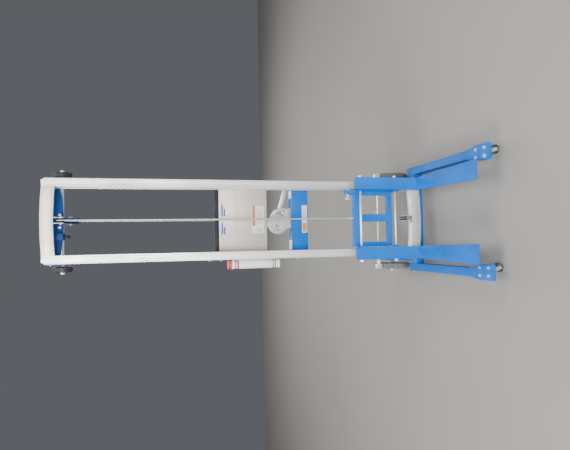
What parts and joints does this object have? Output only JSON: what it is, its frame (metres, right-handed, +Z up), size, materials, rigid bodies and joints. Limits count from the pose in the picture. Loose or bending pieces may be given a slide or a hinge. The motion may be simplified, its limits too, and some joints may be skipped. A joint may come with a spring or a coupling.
{
  "type": "hand winch material lift",
  "caption": "Tall narrow lift: two-stage aluminium mast raised by a hand winch and wire rope, blue L-forks on a carriage, straddle legs with casters and large rear wheels.",
  "frame": {"origin": "centre of the footprint box on the floor", "axes": "+Z up the mast, -Y out along the forks, +X to the right as seen by someone facing the forks"},
  "size_m": [0.61, 1.018, 2.021],
  "materials": {
    "blue_paint": "gloss",
    "dark_blue_paint": "satin",
    "mast_aluminium": "satin",
    "zinc": "satin",
    "steel": "polished",
    "black_plastic": "matte",
    "grey_tyre": "matte",
    "hub_grey": "matte",
    "white_plastic": "gloss",
    "red_plastic": "gloss",
    "wire_rope": "satin"
  },
  "bodies": {
    "base": {"base_cross_tube": "blue_paint", "left_leg": "blue_paint", "right_leg": "blue_paint", "left_axle_plate": "blue_paint", "right_axle_plate": "blue_paint", "rear_axle": "steel", "left_outer_column": "mast_aluminium", "right_outer_column": "mast_aluminium", "left_load_bracket": "blue_paint", "right_load_bracket": "blue_paint", "load_wheel_rod": "steel", "head_tie": "dark_blue_paint", "cover_tie": "blue_paint", "cover_plate": "mast_aluminium", "winch_beam": "blue_paint", "winch_frame": "zinc", "winch_gear_cover": "zinc", "document_tube": "white_plastic", "document_tube_holder": "zinc", "cable_winch_run": "wire_rope", "cable_middle_run": "wire_rope"},
    "left_rear_wheel": {"left_rear_tyre": "grey_tyre", "left_rear_hub": "hub_grey"},
    "right_rear_wheel": {"right_rear_tyre": "grey_tyre", "right_rear_hub": "hub_grey"},
    "foot_brake": {"brake_bar": "steel", "left_brake_pad": "white_plastic", "right_brake_pad": "white_plastic"},
    "left_caster": {"left_caster_fork": "zinc"},
    "right_caster": {"right_caster_fork": "zinc"},
    "left_caster_roller": {"left_caster_wheel": "black_plastic"},
    "right_caster_roller": {"right_caster_wheel": "black_plastic"},
    "left_loading_wheel": {"left_load_wheel": "black_plastic"},
    "right_loading_wheel": {"right_load_wheel": "black_plastic"},
    "latch": {"mast_latch": "blue_paint"},
    "tube_cap": {"document_tube_cap": "red_plastic"},
    "drum": {"winch_drum": "zinc"},
    "crank": {"winch_pinion_shaft": "steel", "crank_arm": "steel"},
    "grip": {"crank_grip": "black_plastic"},
    "head_pulley": {"head_sheave": "black_plastic"},
    "crown_pulley": {"crown_sheave": "black_plastic"},
    "foot_pulley": {"foot_sheave": "black_plastic"},
    "moving_mast": {"left_inner_column": "mast_aluminium", "right_inner_column": "mast_aluminium", "top_crossbar": "mast_aluminium", "bottom_crossbar": "mast_aluminium", "cable_inner_run": "wire_rope", "cable_front_run": "wire_rope"},
    "carriage": {"carriage_frame": "blue_paint", "left_fork": "blue_paint", "right_fork": "blue_paint", "upper_fork_rod": "steel", "lower_fork_rod": "steel"},
    "left_top_guide": {"left_upper_roller": "black_plastic"},
    "left_low_guide": {"left_lower_roller": "black_plastic"},
    "right_top_guide": {"right_upper_roller": "black_plastic"},
    "right_low_guide": {"right_lower_roller": "black_plastic"},
    "plunger": {"lock_pin": "steel"}
  },
  "joints": [
    {"name": "mast_lift", "type": "slide", "parent": "base", "child": "moving_mast", "axis": [0, 0, 1], "range_m": [0, 1.4], "deforming": ["cable_middle_run"]},
    {"name": "carriage_lift", "type": "slide", "parent": "moving_mast", "child": "carriage", "axis": [0, 0, 1], "range_m": [0, 1.4], "deforming": ["cable_front_run"]},
    {"name": "drum_spin", "type": "hinge", "parent": "base", "child": "drum", "pos_m": [-0.0198, 0.208, 0.876], "axis": [0, 1, 0], "continuous": true},
    {"name": "crank_spin", "type": "hinge", "parent": "base", "child": "crank", "pos_m": [0.039, 0.236, 0.846], "axis": [0, 1, 0], "continuous": true},
    {"name": "grip_spin", "type": "hinge", "parent": "crank", "child": "grip", "pos_m": [0.198, 0.336, 0.8], "axis": [0, 1, 0], "continuous": true},
    {"name": "head_pulley_spin", "type": "hinge", "parent": "base", "child": "head_pulley", "pos_m": [0.003, 0.186, 1.905], "axis": [1, 0, 0], "continuous": true},
    {"name": "crown_pulley_spin", "type": "hinge", "parent": "moving_mast", "child": "crown_pulley", "pos_m": [0.003, 0.096, 1.934], "axis": [1, 0, 0], "continuous": true},
    {"name": "foot_pulley_spin", "type": "hinge", "parent": "moving_mast", "child": "foot_pulley", "pos_m": [0.003, 0.132, 0.16], "axis": [1, 0, 0], "continuous": true},
    {"name": "left_top_guide_roll", "type": "hinge", "parent": "carriage", "child": "left_top_guide", "pos_m": [-0.178, 0.1, 0.445], "axis": [1, 0, 0], "continuous": true},
    {"name": "left_low_guide_roll", "type": "hinge", "parent": "carriage", "child": "left_low_guide", "pos_m": [-0.178, 0.1, 0.285], "axis": [1, 0, 0], "continuous": true},
    {"name": "left_rear_roll", "type": "hinge", "parent": "base", "child": "left_rear_wheel", "pos_m": [-0.273, 0.407, 0.102], "axis": [1, 0, 0], "continuous": true},
    {"name": "left_loading_roll", "type": "hinge", "parent": "base", "child": "left_loading_wheel", "pos_m": [-0.23, 0.226, 1.95], "axis": [1, 0, 0], "continuous": true},
    {"name": "left_caster_swivel", "type": "hinge", "parent": "base", "child": "left_caster", "pos_m": [-0.266, -0.469, 0.075], "axis": [0, 0, 1], "continuous": true},
    {"name": "left_caster_roll", "type": "hinge", "parent": "left_caster", "child": "left_caster_roller", "pos_m": [-0.25, -0.469, 0.021], "axis": [0, 1, 0], "continuous": true},
    {"name": "right_top_guide_roll", "type": "hinge", "parent": "carriage", "child": "right_top_guide", "pos_m": [0.178, 0.1, 0.445], "axis": [1, 0, 0], "continuous": true},
    {"name": "right_low_guide_roll", "type": "hinge", "parent": "carriage", "child": "right_low_guide", "pos_m": [0.178, 0.1, 0.285], "axis": [1, 0, 0], "continuous": true},
    {"name": "right_rear_roll", "type": "hinge", "parent": "base", "child": "right_rear_wheel", "pos_m": [0.273, 0.407, 0.102], "axis": [1, 0, 0], "continuous": true},
    {"name": "right_loading_roll", "type": "hinge", "parent": "base", "child": "right_loading_wheel", "pos_m": [0.23, 0.226, 1.95], "axis": [1, 0, 0], "continuous": true},
    {"name": "right_caster_swivel", "type": "hinge", "parent": "base", "child": "right_caster", "pos_m": [0.266, -0.469, 0.075], "axis": [0, 0, 1], "continuous": true},
    {"name": "right_caster_roll", "type": "hinge", "parent": "right_caster", "child": "right_caster_roller", "pos_m": [0.282, -0.469, 0.021], "axis": [0, 1, 0], "continuous": true},
    {"name": "brake_press", "type": "hinge", "parent": "base", "child": "foot_brake", "pos_m": [0, 0.338, 0.14], "axis": [1, 0, 0], "range_deg": [-2, 25]},
    {"name": "latch_lift", "type": "slide", "parent": "base", "child": "latch", "axis": [0, 0, 1], "range_m": [0, 0.016]},
    {"name": "cap_pull", "type": "slide", "parent": "base", "child": "tube_cap", "axis": [0, 0, 1], "range_m": [0, 0.019]},
    {"name": "plunger_pull", "type": "slide", "parent": "carriage", "child": "plunger", "axis": [1, 0, 0], "range_m": [-0.02, 0], "stiffness_N_per_m": 300, "springref_m": 0.006}
  ],
  "couplings": [
    {"joint": "drum_spin", "follows": "carriage_lift", "rad_per_m": 44.444},
    {"joint": "crank_spin", "follows": "carriage_lift", "rad_per_m": -151.11},
    {"joint": "head_pulley_spin", "follows": "carriage_lift", "rad_per_m": -27.778},
    {"joint": "crown_pulley_spin", "follows": "carriage_lift", "rad_per_m": -55.556},
    {"joint": "foot_pulley_spin", "follows": "carriage_lift", "rad_per_m": 55.556},
    {"joint": "left_top_guide_roll", "follows": "carriage_lift", "rad_per_m": 54.054},
    {"joint": "right_top_guide_roll", "follows": "carriage_lift", "rad_per_m": 54.054},
    {"joint": "left_low_guide_roll", "follows": "carriage_lift", "rad_per_m": -54.054},
    {"joint": "right_low_guide_roll", "follows": "carriage_lift", "rad_per_m": -54.054}
  ]
}
